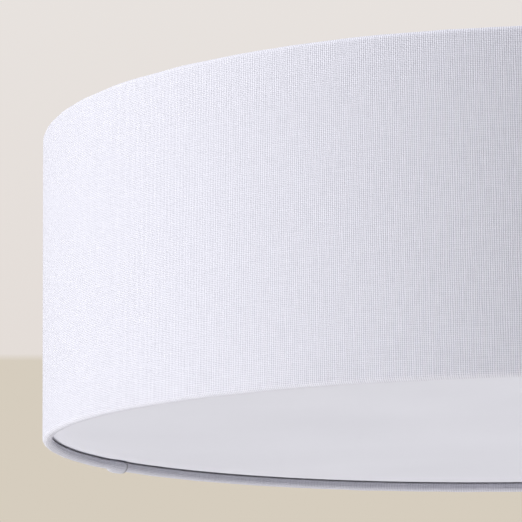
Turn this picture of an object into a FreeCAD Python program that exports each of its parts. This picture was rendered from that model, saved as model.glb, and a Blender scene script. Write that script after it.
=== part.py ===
"""Flush mount ceiling light with a fabric drum shade, in millimetres.

The origin is the centre of the ceiling plane. +Z points up into the ceiling, so the whole light
lies below z = 0. Each sub-part is one object of the document, and its Label names its file.
"""
import FreeCAD, Part
import math
import os
import re

import Sketcher

Vector = FreeCAD.Vector
Rotation = FreeCAD.Rotation
ALONG_X = Vector(1, 0, 0)
ALONG_Z = Vector(0, 0, 1)
LAMPS = 3
ARMS = 3
KNURLS = 36
SHELL_RIBS = 8
CAP_RIBS = 5
# Along a bulb's housing: the share of its length, and the share of its widening.
HOUSING_CURVE = ((0.45, 0.38), (0.75, 0.74))

# Driving dimensions. Each one is a cell of the spreadsheet, with this name as its alias.
SIZES = {
    # shade
    "shade_radius": 200.0,
    "shade_height": 122.0,
    "ceiling_gap": 1.0,
    "fabric_thickness": 0.45,
    "liner_thickness": 0.5,
    "ring_wire": 2.4,
    "hem_play": 0.1,
    "lap_width": 11.0,
    "lap_azimuth": 155.6,
    "diffuser_thickness": 2.0,
    "diffuser_ease": 0.3,
    "diffuser_play": 0.6,
    "diffuser_seat_gap": 0.3,
    # spider
    "arm_wire": 3.5,
    "arm_start": 10.0,
    "arm_knee": 88.0,
    "arm_bend": 20.0,
    "arm_azimuth": 90.0,
    "arm_notch_play": 0.4,
    "hub_radius": 18.0,
    "hub_thickness": 2.0,
    # centre stem and its nuts
    "stem_radius": 4.85,
    "stem_bore": 3.5,
    "stem_inset": 0.3,
    "stem_chamfer": 0.5,
    "thread_play": 0.3,
    "strap_nut_height": 3.0,
    "pan_nut_height": 4.5,
    "nut_flats": 14.0,
    "nut_bevel": 0.7,
    "lock_washer_radius": 9.0,
    "lock_washer_thickness": 1.0,
    "shade_washer_radius": 12.5,
    "shade_washer_thickness": 1.2,
    "shade_nut_radius": 10.5,
    "shade_nut_height": 8.0,
    "shade_nut_travel": 12.0,
    "shade_nut_chamfer": 1.2,
    "shade_nut_ease": 0.6,
    "knurl_groove": 0.5,
    # ceiling pan and strap
    "pan_radius": 71.0,
    "pan_flange": 4.0,
    "pan_depth": 22.0,
    "pan_wall": 1.0,
    "pan_corner": 4.0,
    "strap_end": 3.55,
    "strap_width": 22.0,
    "strap_thickness": 1.6,
    "box_screw_spacing": 88.9,
    "slot_width": 5.0,
    "slot_length": 14.0,
    # lamps: bracket, holder and bulb
    "lamp_azimuth": 30.0,
    "lamp_drop": 36.0,
    "bracket_start": 34.0,
    "bracket_foot": 28.0,
    "bracket_below": 17.0,
    "bracket_width": 26.0,
    "bracket_thickness": 1.2,
    "bracket_bend": 1.5,
    "rivet_radius": 2.0,
    "rivet_head": 3.4,
    "rivet_spread": 8.0,
    "rivet_inset": 8.0,
    "grommet_place": 26.0,
    "grommet_hole": 4.5,
    "grommet_bore": 3.0,
    "grommet_lip": 1.4,
    "socket_length": 45.0,
    "socket_radius": 19.0,
    "socket_base": 9.0,
    "socket_edge": 1.5,
    "socket_band": 6.0,
    "socket_band_slope": 2.0,
    "socket_rim": 4.0,
    "socket_rim_slope": 1.0,
    "shell_wall": 0.5,
    "shell_play": 0.2,
    "shell_seat": 1.0,
    "shell_inset": 1.5,
    "screw_radius": 1.7,
    "screw_head": 3.0,
    "screw_spread": 12.0,
    "cap_crest": 13.1,
    "cap_pitch": 3.6,
    "cap_play": 0.4,
    "thread_depth": 0.5,
    "cap_wall": 0.6,
    "cap_collar": 3.0,
    "insulator_height": 5.5,
    "insulator_tuck": 1.5,
    "bulb_wall": 1.5,
    "housing_wall": 2.0,
    "contact_radius": 4.5,
    "contact_height": 2.0,
    "contact_gap": 0.3,
    "contact_pin": 2.8,
    "bulb_radius": 30.0,
    "bulb_length": 110.0,
    "housing_length": 34.0,
    "globe_step": 1.0,
    # wiring
    "lead_radius": 0.95,
    "lead_offset": 1.25,
    "lead_bend": 5.0,
    "lead_inside": 4.0,
    "floor_play": 0.5,
    "layer_play": 0.25,
    "block_place": 45.0,
    "block_length": 30.0,
    "block_width": 17.0,
    "block_height": 13.0,
    "block_wall": 2.2,
    "clamp_inset": 1.0,
    "grub_inset": 1.5,
    "grub_slot_width": 0.5,
    "grub_slot_length": 1.8,
    "grub_slot_depth": 1.0,
    "screw_tail": 1.5,
    "earth_gap": 6.0,
    "earth_head": 3.6,
    "earth_head_height": 2.4,
    "earth_tail": 3.0,
    "earth_run": 0.6,
    "earth_lead_stop": 1.4,
    "pole_pitch": 10.0,
    "pole_bore": 2.3,
    "clamp_wall": 0.7,
    "lead_entry": 1.8,
    "bundle_play": 0.1,
}

# What follows from the driving dimensions, in the same words.
FITS = {
    # shade hems: a fabric roll round each ring wire
    "hem_outer": "(ring_wire + liner_thickness) / 2 + hem_play / 2 + fabric_thickness",
    "hem_inner": "hem_outer - fabric_thickness",
    "hem_centre": "shade_radius - hem_outer",
    "liner_outer": "shade_radius - fabric_thickness",
    "liner_inner": "liner_outer - liner_thickness",
    "ring_centre": "liner_inner - ring_wire / 2",
    "top_hem_z": "0 - ceiling_gap - hem_outer",
    "bottom_hem_z": "0 - ceiling_gap - shade_height + hem_outer",
    "tuck_inset": "liner_inner - hem_centre",
    "lap_outer": "hem_outer + fabric_thickness",
    "notch_below": "2.2 * hem_outer",
    "diffuser_radius": "liner_inner - diffuser_play",
    "diffuser_z": "bottom_hem_z + hem_outer + diffuser_seat_gap",
    "strap_length": "box_screw_spacing + slot_length + 2 * strap_end",
    # stack along the stem, downwards
    "lock_washer_z": "0 - pan_depth",
    "pan_nut_z": "lock_washer_z - lock_washer_thickness",
    "hub_z": "pan_nut_z - pan_nut_height",
    "shade_washer_z": "hub_z - hub_thickness",
    "shade_nut_z": "shade_washer_z - shade_washer_thickness",
    "stem_end_z": "shade_nut_z - shade_nut_travel",
    "stem_hole": "stem_radius + thread_play",
    "arm_z": "hub_z + arm_wire / 2",
    "arm_gap": "(ring_wire + hem_play) / 2",
    # lamp, along its own axis
    "lamp_z": "0 - pan_depth - lamp_drop",
    "socket_back": "bracket_start + bracket_thickness",
    "socket_floor": "socket_back + socket_base",
    "socket_mouth": "socket_back + socket_length",
    "shell_outer": "cap_crest + cap_play + shell_wall + thread_depth",
    "socket_cavity": "shell_outer + shell_play",
    "cap_root": "cap_crest - thread_depth * 1.6",
    "cap_hollow": "cap_root - cap_wall",
    "bulb_tip": "socket_floor + contact_height + contact_gap",
    "cap_start": "bulb_tip + insulator_height",
    "cap_end": f"cap_start + {CAP_RIBS + 1} * cap_pitch",
    "collar_end": "cap_end + cap_collar",
    "globe_start": "cap_end + housing_length",
    "globe_end": "bulb_tip + bulb_length",
    "globe_rim": "bulb_radius - globe_step",
    "block_floor": "0 - pan_depth + pan_wall",
    "block_screw_place": "pole_pitch / 2",
    "lowest_layer": "block_floor + lead_bend + floor_play",
    "layer_pitch": "2 * lead_radius + layer_play",
    "lead_end": "socket_floor - lead_inside",
    "lead_pass": "stem_radius + lead_bend",
    "rivet_place": "bracket_start + bracket_foot - rivet_inset",
    "pole_height": "pole_bore + clamp_wall + block_wall",
    "screw_shank": "pole_bore - 0.4",
    "earth_place": "block_length / 2 + earth_gap",
    "earth_lead_z": "block_floor + pole_height",
}

doc = FreeCAD.newDocument("ceiling_light")
sheet = doc.addObject("Spreadsheet::Sheet", "sizes")
for row, (alias, size) in enumerate(SIZES.items(), start=1):
    sheet.set(f"A{row}", alias)
    sheet.set(f"B{row}", str(size))
    sheet.setAlias(f"B{row}", alias)
doc.recompute()


def bound(text):
    """The expression for a size written in the words of SIZES and FITS."""

    def cell(match):
        word = match.group(0)
        if word in FITS:
            return "(" + bound(FITS[word]) + ")"
        return "sizes." + word if word in SIZES else word

    return re.sub(r"[A-Za-z_]\w*", cell, text)


def value(text):
    """The number that such a size has now."""
    return float(sheet.evalExpression(bound(text)))


# ---------------------------------------------------------------- sketches and features


def new_body(label):
    body = doc.addObject("PartDesign::Body", label)
    body.Label = label
    return body


def new_sketch(body, role, name, offset=None):
    """A sketch on one of the body's origin planes, moved along the plane's normal by offset."""
    sketch = body.newObject("Sketcher::SketchObject", name)
    plane = [feature for feature in body.Origin.OriginFeatures if feature.Role == role][0]
    sketch.AttachmentSupport = [(plane, "")]
    sketch.MapMode = "FlatFace"
    if offset:
        sketch.setExpression("AttachmentOffset.Base.z", bound(offset))
    return sketch


def fix_point(sketch, curve, end, across, up):
    """Ties one point of a sketch to its distances from the sketch's origin."""
    for kind, text, axis in (("DistanceX", across, -2), ("DistanceY", up, -1)):
        if text is None:
            continue
        distance = value(text)
        if abs(distance) < 1e-9:
            sketch.addConstraint(Sketcher.Constraint("PointOnObject", curve, end, axis))
            continue
        tie = sketch.addConstraint(Sketcher.Constraint(kind, -1, 1, curve, end, distance))
        sketch.setExpression(f"Constraints[{tie}]", bound(text))


def draw_outline(sketch, corners, arcs=None):
    """Joins corners (across, up) by lines, or by arcs: {corner number: (centre, turn, tied)}.

    turn is 1 for an arc that runs counter-clockwise to the next corner, and -1 for clockwise.
    tied says which coordinate of the centre is given: the other follows from the two ends.
    """
    arcs = arcs or {}
    points = [Vector(value(across), value(up), 0) for across, up in corners]
    count = len(corners)
    base = sketch.GeometryCount
    ends = []
    for number in range(count):
        start = points[number]
        stop = points[(number + 1) % count]
        if number in arcs:
            centre, turn, _ = arcs[number]
            middle = Vector(value(centre[0]), value(centre[1]), 0)
            circle = Part.Circle(middle, ALONG_Z, (start - middle).Length)
            first, last = (start, stop) if turn > 0 else (stop, start)
            angles = [math.atan2(p.y - middle.y, p.x - middle.x) for p in (first, last)]
            sketch.addGeometry(Part.ArcOfCircle(circle, angles[0], angles[1]), False)
            ends.append((1, 2) if turn > 0 else (2, 1))
        else:
            sketch.addGeometry(Part.LineSegment(start, stop), False)
            ends.append((1, 2))
    for number in range(count):
        curve = base + number
        after = (number + 1) % count
        joint = (curve, ends[number][1], base + after, ends[after][0])
        sketch.addConstraint(Sketcher.Constraint("Coincident", *joint))
        fix_point(sketch, curve, ends[number][0], *corners[number])
        if number in arcs:
            (across, up), _, tied = arcs[number]
            centre = (across, None) if tied == "across" else (None, up)
            fix_point(sketch, curve, 3, *centre)


def draw_circle(sketch, across, up, radius):
    number = sketch.addGeometry(
        Part.Circle(Vector(value(across), value(up), 0), ALONG_Z, value(radius)), False
    )
    fix_point(sketch, number, 3, across, up)
    tie = sketch.addConstraint(Sketcher.Constraint("Radius", number, value(radius)))
    sketch.setExpression(f"Constraints[{tie}]", bound(radius))


def draw_slot(sketch, across, up, width, length):
    """A slot along the sketch's first axis, with round ends."""
    half = f"({width}) / 2"
    reach = f"({length}) / 2 - {half}"
    left, right = f"{across} - ({reach})", f"{across} + ({reach})"
    low, high = f"{up} - {half}", f"{up} + {half}"
    draw_outline(
        sketch,
        [(left, low), (right, low), (right, high), (left, high)],
        {1: ((right, up), 1, "across"), 3: ((left, up), 1, "across")},
    )


def revolve(body, sketch, axis, angle="360"):
    turn = body.newObject("PartDesign::Revolution", "Revolution")
    turn.Profile = sketch
    turn.ReferenceAxis = (sketch, [axis])
    turn.setExpression("Angle", bound(angle))
    return turn


def pad(body, sketch, length, both_ways=False, down=False):
    feature = body.newObject("PartDesign::Pad", "Pad")
    feature.Profile = sketch
    feature.setExpression("Length", bound(length))
    feature.SideType = "Symmetric" if both_ways else "One side"
    feature.Reversed = down
    return feature


def pocket(body, sketch, length, both_ways=True, down=False):
    """Cuts a sketch out of the body, and stops the script if nothing is cut."""
    doc.recompute()
    before = body.Shape.Volume
    feature = body.newObject("PartDesign::Pocket", "Pocket")
    feature.Profile = sketch
    feature.SideType = "Symmetric" if both_ways else "One side"
    feature.Reversed = down
    feature.setExpression("Length", bound(length))
    doc.recompute()
    if body.Shape.Volume > before - 1e-6:
        raise RuntimeError(f"{body.Label}: {sketch.Label} cuts nothing")
    return feature


def round_pattern(body, features, count):
    """Repeats features round the Z axis."""
    pattern = body.newObject("PartDesign::PolarPattern", "PolarPattern")
    pattern.Originals = features
    axis = [feature for feature in body.Origin.OriginFeatures if feature.Role == "Z_Axis"][0]
    pattern.Axis = (axis, [""])
    pattern.Angle = 360
    pattern.Occurrences = count
    body.Tip = pattern
    return pattern


def turned(label, corners, arcs=None, axis="V_Axis"):
    """A body turned from one outline in the XZ plane."""
    body = new_body(label)
    sketch = new_sketch(body, "XZ_Plane", label + "_outline")
    draw_outline(sketch, corners, arcs)
    revolve(body, sketch, axis)
    return body


def washer_ring(label, inner, outer, top, thickness):
    low = f"{top} - ({thickness})"
    return turned(label, [(inner, low), (outer, low), (outer, top), (inner, top)])


def hex_nut(label, top, height):
    """A hexagon nut on the stem: a turned blank with its corners taken off, then six flats."""
    body = new_body(label)
    blank = new_sketch(body, "XZ_Plane", label + "_blank")
    tip = "nut_flats / sqrt(3)"
    low = f"{top} - {height}"
    draw_outline(
        blank,
        [
            ("stem_hole", low),
            (f"{tip} - nut_bevel", low),
            (tip, f"{low} + nut_bevel / 2"),
            (tip, f"{top} - nut_bevel / 2"),
            (f"{tip} - nut_bevel", top),
            ("stem_hole", top),
        ],
    )
    revolve(body, blank, "V_Axis")
    flat = new_sketch(body, "XY_Plane", label + "_flat", low)
    near, far = "nut_flats / 2", "nut_flats"
    draw_outline(flat, [(near, f"0 - {far}"), (far, f"0 - {far}"), (far, far), (near, far)])
    cut = pocket(body, flat, height, both_ways=False, down=True)
    round_pattern(body, [cut], 6)
    return body


def place(part, turn="0", rise="0", number=0, count=1):
    """Moves a sub-part up by rise and turns it about the Z axis, by turn plus its share of 360."""
    part.Placement = FreeCAD.Placement(Vector(0, 0, 0), Rotation(ALONG_Z, 0))
    part.setExpression("Placement.Base.z", bound(rise))
    part.setExpression("Placement.Rotation.Angle", bound(f"{turn} + 360 * {number} / {count}"))
    return part


# ---------------------------------------------------------------- shade


def hem_corners(centre_z, side, outer, inner):
    """Where a hem's roll ends against the liner: on its outer and its inner surface."""
    reach = "tuck_inset"
    return [
        ("liner_inner", f"{centre_z} + {side} * sqrt(({radius}) ^ 2 - ({reach}) ^ 2)")
        for radius in (outer, inner)
    ]


def make_shade_fabric():
    """The cover: one wall with a roll round each ring, a glued lap, and notches for the arms."""
    cover = new_body("fabric_cover")
    sketch = new_sketch(cover, "XZ_Plane", "cover_outline")
    low_end = hem_corners("bottom_hem_z", 1, "hem_outer", "hem_inner")
    high_end = hem_corners("top_hem_z", -1, "hem_outer", "hem_inner")
    low, high = ("hem_centre", "bottom_hem_z"), ("hem_centre", "top_hem_z")
    draw_outline(
        sketch,
        [
            ("shade_radius", "top_hem_z"),
            ("shade_radius", "bottom_hem_z"),
            low_end[0],
            low_end[1],
            ("liner_outer", "bottom_hem_z"),
            ("liner_outer", "top_hem_z"),
            high_end[1],
            high_end[0],
        ],
        {1: (low, -1, "up"), 3: (low, 1, "up"), 5: (high, 1, "up"), 7: (high, -1, "up")},
    )
    revolve(cover, sketch, "V_Axis")

    lap = new_body("fabric_lap")
    strip = new_sketch(lap, "XZ_Plane", "lap_outline")
    draw_outline(
        strip,
        [
            ("hem_centre + lap_outer", "top_hem_z"),
            ("hem_centre + lap_outer", "bottom_hem_z"),
            ("hem_centre - lap_outer", "bottom_hem_z"),
            ("hem_centre - hem_outer", "bottom_hem_z"),
            ("hem_centre + hem_outer", "bottom_hem_z"),
            ("hem_centre + hem_outer", "top_hem_z"),
            ("hem_centre", "top_hem_z + hem_outer"),
            ("hem_centre", "top_hem_z + lap_outer"),
        ],
        {1: (low, -1, "up"), 3: (low, 1, "up"), 5: (high, 1, "up"), 7: (high, -1, "up")},
    )
    revolve(lap, strip, "V_Axis", "lap_width / shade_radius * 180 / pi")
    place(lap, "lap_azimuth")

    joined = doc.addObject("Part::Fuse", "fabric_joined")
    joined.Base = cover
    joined.Tool = lap

    notches = doc.addObject("Part::MultiFuse", "arm_notches")
    tools = []
    for number in range(ARMS):
        tool = doc.addObject("Part::Box", f"arm_notch_{number + 1}")
        tool.setExpression("Length", bound("hem_outer * 2"))
        tool.setExpression("Width", bound("arm_wire + 2 * arm_notch_play"))
        tool.setExpression("Height", bound("notch_below + arm_wire / 2 + arm_notch_play"))
        turn = FreeCAD.Rotation(ALONG_Z, value("arm_azimuth") + 360 / ARMS * number)
        corner = Vector(
            value("hem_centre - 2 * hem_outer"),
            value("0 - arm_wire / 2 - arm_notch_play"),
            value("top_hem_z - notch_below"),
        )
        tool.Placement = FreeCAD.Placement(turn.multVec(corner), turn)
        tools.append(tool)
    notches.Shapes = tools
    fabric = doc.addObject("Part::Cut", "shade_fabric")
    fabric.Label = "shade_fabric"
    fabric.Base = joined
    fabric.Tool = notches
    return fabric


def make_shade_liner():
    """The stiff sheet behind the fabric. Its edges end level with the ring wires."""
    return turned(
        "shade_liner",
        [
            ("liner_inner", "bottom_hem_z"),
            ("liner_outer", "bottom_hem_z"),
            ("liner_outer", "top_hem_z"),
            ("liner_inner", "top_hem_z"),
        ],
    )


def make_ring(label, height):
    ring = doc.addObject("Part::Torus", label)
    ring.Label = label
    ring.setExpression("Radius1", bound("ring_centre"))
    ring.setExpression("Radius2", bound("ring_wire / 2"))
    return place(ring, rise=height)


def make_spider_arms():
    """Three wires, welded on top of the hub, that rise to meet the top ring."""
    body = new_body("spider_arms")
    path = new_sketch(body, "XZ_Plane", "arm_path")
    start = Vector(value("arm_start"), value("arm_z"), 0)
    knee = Vector(value("arm_knee"), value("arm_z"), 0)
    ring = Vector(value("ring_centre"), value("top_hem_z"), 0)
    rising = (ring - knee).normalize()
    slope = math.atan2(rising.y, rising.x)
    bend = value("arm_bend")
    cut = bend * math.tan(slope / 2)
    circle = Part.Circle(knee + Vector(-cut, bend, 0), ALONG_Z, bend)
    path.addGeometry(Part.LineSegment(start, knee - ALONG_X * cut), False)
    path.addGeometry(Part.ArcOfCircle(circle, -math.pi / 2, -math.pi / 2 + slope), False)
    end = ring - rising * value("arm_gap")
    path.addGeometry(Part.LineSegment(knee + rising * cut, end), False)
    path.addGeometry(Part.Point(knee), True)
    path.addGeometry(Part.Point(ring), True)
    fix_point(path, 0, 1, "arm_start", "arm_z")
    fix_point(path, 3, 1, "arm_knee", "arm_z")
    fix_point(path, 4, 1, "ring_centre", "top_hem_z")
    path.addConstraint(Sketcher.Constraint("Horizontal", 0))
    path.addConstraint(Sketcher.Constraint("PointOnObject", 3, 1, 2))
    path.addConstraint(Sketcher.Constraint("PointOnObject", 4, 1, 2))
    path.addConstraint(Sketcher.Constraint("Tangent", 0, 2, 1, 1))
    path.addConstraint(Sketcher.Constraint("Tangent", 1, 2, 2, 1))
    tie = path.addConstraint(Sketcher.Constraint("Radius", 1, bend))
    path.setExpression(f"Constraints[{tie}]", bound("arm_bend"))
    tie = path.addConstraint(Sketcher.Constraint("Distance", 2, 2, 4, 1, value("arm_gap")))
    path.setExpression(f"Constraints[{tie}]", bound("arm_gap"))

    section = new_sketch(body, "YZ_Plane", "arm_section", "arm_start")
    draw_circle(section, "0", "arm_z", "arm_wire / 2")
    doc.recompute()
    pipe = body.newObject("PartDesign::AdditivePipe", "Pipe")
    pipe.Profile = section
    pipe.Spine = (path, ["Edge1", "Edge2", "Edge3"])
    doc.recompute()
    round_pattern(body, [pipe], ARMS)
    return place(body, "arm_azimuth")


def make_spider_hub():
    return washer_ring("spider_hub", "stem_hole", "hub_radius", "hub_z", "hub_thickness")


def make_shade_nut():
    """A round nut with a knurled rim and a chamfered free end."""
    low = "shade_nut_z - shade_nut_height"
    body = turned(
        "shade_nut",
        [
            ("stem_hole", low),
            ("shade_nut_radius - shade_nut_chamfer", low),
            ("shade_nut_radius", f"{low} + shade_nut_chamfer"),
            ("shade_nut_radius", "shade_nut_z - shade_nut_ease"),
            ("shade_nut_radius - shade_nut_ease", "shade_nut_z"),
            ("stem_hole", "shade_nut_z"),
        ],
    )
    groove = new_sketch(body, "XY_Plane", "knurl", low)
    draw_circle(groove, "shade_nut_radius + knurl_groove * 0.2", "0", "knurl_groove")
    cut = pocket(body, groove, "shade_nut_height", both_ways=False, down=True)
    round_pattern(body, [cut], KNURLS)
    return body


def make_diffuser():
    """The opal disc, with a small round on its rim, lying on the bottom hem."""
    top = "diffuser_z + diffuser_thickness"
    rim = "diffuser_radius - diffuser_ease"
    return turned(
        "diffuser",
        [
            ("0", "diffuser_z"),
            (rim, "diffuser_z"),
            ("diffuser_radius", "diffuser_z + diffuser_ease"),
            ("diffuser_radius", f"{top} - diffuser_ease"),
            (rim, top),
            ("0", top),
        ],
    )


# ---------------------------------------------------------------- ceiling pan, strap and stem


def make_mounting_strap():
    body = new_body("mounting_strap")
    plan = new_sketch(body, "XY_Plane", "strap_outline")
    side, half = "strap_length / 2", "strap_width / 2"
    bend = "strap_width / 4"
    draw_outline(
        plan,
        [
            (f"0 - {side} + {bend}", f"0 - {half}"),
            (f"{side} - {bend}", f"0 - {half}"),
            (side, f"0 - {half} + {bend}"),
            (side, f"{half} - {bend}"),
            (f"{side} - {bend}", half),
            (f"0 - {side} + {bend}", half),
            (f"0 - {side}", f"{half} - {bend}"),
            (f"0 - {side}", f"0 - {half} + {bend}"),
        ],
        {
            1: ((f"{side} - {bend}", f"0 - {half} + {bend}"), 1, "across"),
            3: ((f"{side} - {bend}", f"{half} - {bend}"), 1, "across"),
            5: ((f"0 - {side} + {bend}", f"{half} - {bend}"), 1, "across"),
            7: ((f"0 - {side} + {bend}", f"0 - {half} + {bend}"), 1, "across"),
        },
    )
    pad(body, plan, "strap_thickness", down=True)
    for number, side in enumerate(("0 - box_screw_spacing / 2", "box_screw_spacing / 2")):
        slot = new_sketch(body, "XY_Plane", f"strap_slot_{number + 1}")
        draw_slot(slot, side, "0", "slot_width", "slot_length")
        pocket(body, slot, "4 * strap_thickness")
    hole = new_sketch(body, "XY_Plane", "strap_centre_hole")
    draw_circle(hole, "0", "0", "stem_radius + 0.1")
    pocket(body, hole, "4 * strap_thickness")
    return body


def make_ceiling_pan():
    """A pressed pan: flat flange on the ceiling, round corner, and a floor with its holes."""
    inner = "pan_radius - pan_wall"
    floor = "0 - pan_depth"
    soft = "pan_corner - pan_wall"
    body = turned(
        "ceiling_pan",
        [
            ("0", floor),
            ("pan_radius - pan_corner", floor),
            ("pan_radius", f"{floor} + pan_corner"),
            ("pan_radius", "0 - pan_wall"),
            ("pan_radius + pan_flange", "0 - pan_wall"),
            ("pan_radius + pan_flange", "0"),
            (inner, "0"),
            (inner, f"{floor} + pan_corner"),
            ("pan_radius - pan_corner", f"{floor} + pan_wall"),
            ("0", f"{floor} + pan_wall"),
        ],
        {
            1: (("pan_radius - pan_corner", f"{floor} + pan_corner"), 1, "across"),
            7: (("pan_radius - pan_corner", f"{floor} + pan_corner"), -1, "across"),
        },
    )
    centre = new_sketch(body, "XY_Plane", "stem_hole_sketch", floor)
    draw_circle(centre, "0", "0", "stem_hole")
    pocket(body, centre, "4 * pan_wall")
    lamp_holes = new_sketch(body, "XY_Plane", "lamp_holes", floor)
    draw_circle(lamp_holes, "grommet_place", "0", "grommet_hole")
    for side in ("rivet_spread", "0 - rivet_spread"):
        draw_circle(lamp_holes, "rivet_place", side, "rivet_radius")
    cut = pocket(body, lamp_holes, "4 * pan_wall")
    round_pattern(body, [cut], LAMPS)
    screw_holes = new_sketch(body, "XY_Plane", "screw_holes", floor)
    for across in ("earth_place", "block_screw_place", "0 - block_screw_place"):
        turned_across = f"({across}) * cos(lamp_azimuth) + block_place * sin(lamp_azimuth)"
        turned_up = f"block_place * cos(lamp_azimuth) - ({across}) * sin(lamp_azimuth)"
        draw_circle(screw_holes, turned_across, turned_up, "screw_radius + 0.1")
    pocket(body, screw_holes, "4 * pan_wall")
    return place(body, "lamp_azimuth")


def make_stem():
    return turned(
        "stem",
        [
            ("stem_bore", "stem_end_z"),
            ("stem_radius - stem_chamfer", "stem_end_z"),
            ("stem_radius", "stem_end_z + stem_chamfer"),
            ("stem_radius", "0 - stem_inset"),
            ("stem_bore", "0 - stem_inset"),
        ],
    )


# ---------------------------------------------------------------- lamps, each along its own X axis


def lamp_place(part, number):
    """Puts a part made along X at lamp height and at its lamp's azimuth."""
    return place(part, "lamp_azimuth", "lamp_z", number, LAMPS)


def make_lamp_bracket(number):
    """A bent strip: its foot is riveted under the pan, and its leg carries the holder."""
    body = new_body(f"lamp_bracket_{number + 1}")
    outline = new_sketch(body, "XZ_Plane", "bracket_outline")
    front, back = "bracket_start", "socket_back"
    foot_end = "bracket_start + bracket_foot"
    top, under = "lamp_drop", "lamp_drop - bracket_thickness"
    outside = "bracket_bend + bracket_thickness"
    end = "0 - bracket_below"
    centre = (f"{front} + {outside}", f"{top} - ({outside})")
    draw_outline(
        outline,
        [
            (front, end),
            (back, end),
            (back, f"{under} - bracket_bend"),
            (f"{back} + bracket_bend", under),
            (foot_end, under),
            (foot_end, top),
            (f"{front} + {outside}", top),
            (front, f"{top} - ({outside})"),
        ],
        {2: (centre, -1, "across"), 6: (centre, 1, "across")},
    )
    pad(body, outline, "bracket_width", both_ways=True)
    holes = new_sketch(body, "YZ_Plane", "leg_holes", front)
    draw_circle(holes, "0", "0", "grommet_hole")
    for side in ("screw_spread", "0 - screw_spread"):
        draw_circle(holes, side, "0", "screw_radius")
    pocket(body, holes, "4 * bracket_thickness")
    foot = new_sketch(body, "XY_Plane", "foot_holes", top)
    for side in ("rivet_spread", "0 - rivet_spread"):
        draw_circle(foot, "rivet_place", side, "rivet_radius")
    pocket(body, foot, "4 * bracket_thickness")
    return lamp_place(body, number)


def make_bracket_rivets():
    """Two rivets at each lamp, through the pan's floor and the bracket's foot."""
    body = new_body("bracket_rivets")
    top = "pan_wall - pan_depth"
    under = "0 - pan_depth - bracket_thickness"
    head = "rivet_head * 0.3"
    features = []
    for number, side in enumerate(("rivet_spread", "0 - rivet_spread")):
        rows = (
            ("shank", under, "rivet_radius", f"{top} - ({under})"),
            ("upper_head", top, "rivet_head", head),
            ("lower_head", f"{under} - {head}", "rivet_head", head),
        )
        for name, start, radius, length in rows:
            sketch = new_sketch(body, "XY_Plane", f"rivet_{name}_{number + 1}", start)
            draw_circle(sketch, "rivet_place", side, radius)
            features.append(pad(body, sketch, length))
    doc.recompute()
    round_pattern(body, features, LAMPS)
    return place(body, "lamp_azimuth")


def make_lead_grommets():
    """A rubber bush in each lamp's lead hole in the pan."""
    body = new_body("lead_grommets")
    floor = "0 - pan_depth"
    groove_top = f"{floor} + pan_wall"
    shape = (
        (f"{floor} - grommet_lip", "grommet_hole + grommet_lip", "grommet_lip"),
        (floor, "grommet_hole", "pan_wall"),
        (groove_top, "grommet_hole + grommet_lip", "grommet_lip"),
    )
    features = []
    for number, (start, radius, length) in enumerate(shape):
        sketch = new_sketch(body, "XY_Plane", f"grommet_step_{number + 1}", start)
        draw_circle(sketch, "grommet_place", "0", radius)
        draw_circle(sketch, "grommet_place", "0", "grommet_bore")
        features.append(pad(body, sketch, length))
    doc.recompute()
    round_pattern(body, features, LAMPS)
    return place(body, "lamp_azimuth")


def make_socket_body(number):
    """The lamp holder's moulded body: a thick base with a wire hole, and a cup for the shell."""
    waist = "socket_radius - socket_edge"
    well = "socket_floor - contact_pin - 0.2"
    body = turned(
        f"socket_body_{number + 1}",
        [
            ("socket_back", "grommet_bore"),
            ("socket_back", waist),
            ("socket_back + socket_edge", "socket_radius"),
            ("socket_floor + socket_band", "socket_radius"),
            ("socket_floor + socket_band + socket_band_slope", waist),
            ("socket_mouth - socket_rim - socket_rim_slope", waist),
            ("socket_mouth - socket_rim", "socket_radius"),
            ("socket_mouth - socket_rim_slope", "socket_radius"),
            ("socket_mouth", "socket_radius - socket_rim_slope"),
            ("socket_mouth", "socket_cavity"),
            ("socket_floor", "socket_cavity"),
            ("socket_floor", "contact_radius - 1"),
            (well, "contact_radius - 1"),
            (well, "grommet_bore"),
        ],
        axis="H_Axis",
    )
    screws = new_sketch(body, "YZ_Plane", "screw_bores", "socket_back")
    for side in ("screw_spread", "0 - screw_spread"):
        draw_circle(screws, side, "0", "screw_radius")
    pocket(body, screws, "2 * (socket_base - socket_edge - 0.5)")
    return lamp_place(body, number)


def make_socket_shell(number):
    """The threaded sleeve, with one rolled rib for each turn of the thread."""
    crests = []
    for turn in range(SHELL_RIBS):
        at = f"socket_floor + 2 * shell_seat + {turn} * cap_pitch"
        crests.append((at, "shell_outer - thread_depth"))
        crests.append((f"{at} + cap_pitch / 2", "shell_outer"))
    outside = [
        ("socket_floor + shell_seat", "shell_outer"),
        *crests,
        ("socket_mouth - shell_inset", "shell_outer"),
    ]
    inside = [(across, f"{radius} - shell_wall") for across, radius in reversed(outside)]
    body = turned(f"socket_shell_{number + 1}", outside + inside, axis="H_Axis")
    return lamp_place(body, number)


def make_socket_contact(number):
    """The centre contact: a pin in the base under a round spring plate."""
    body = turned(
        f"socket_contact_{number + 1}",
        [
            ("socket_floor - contact_pin", "0"),
            ("socket_floor - contact_pin", "contact_radius - 1.2"),
            ("socket_floor", "contact_radius - 1.2"),
            ("socket_floor", "contact_radius + 1"),
            ("socket_floor + contact_height - 1", "contact_radius + 1"),
            ("socket_floor + contact_height", "contact_radius - 1"),
            ("socket_floor + contact_height", "0"),
        ],
        axis="H_Axis",
    )
    return lamp_place(body, number)


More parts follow.
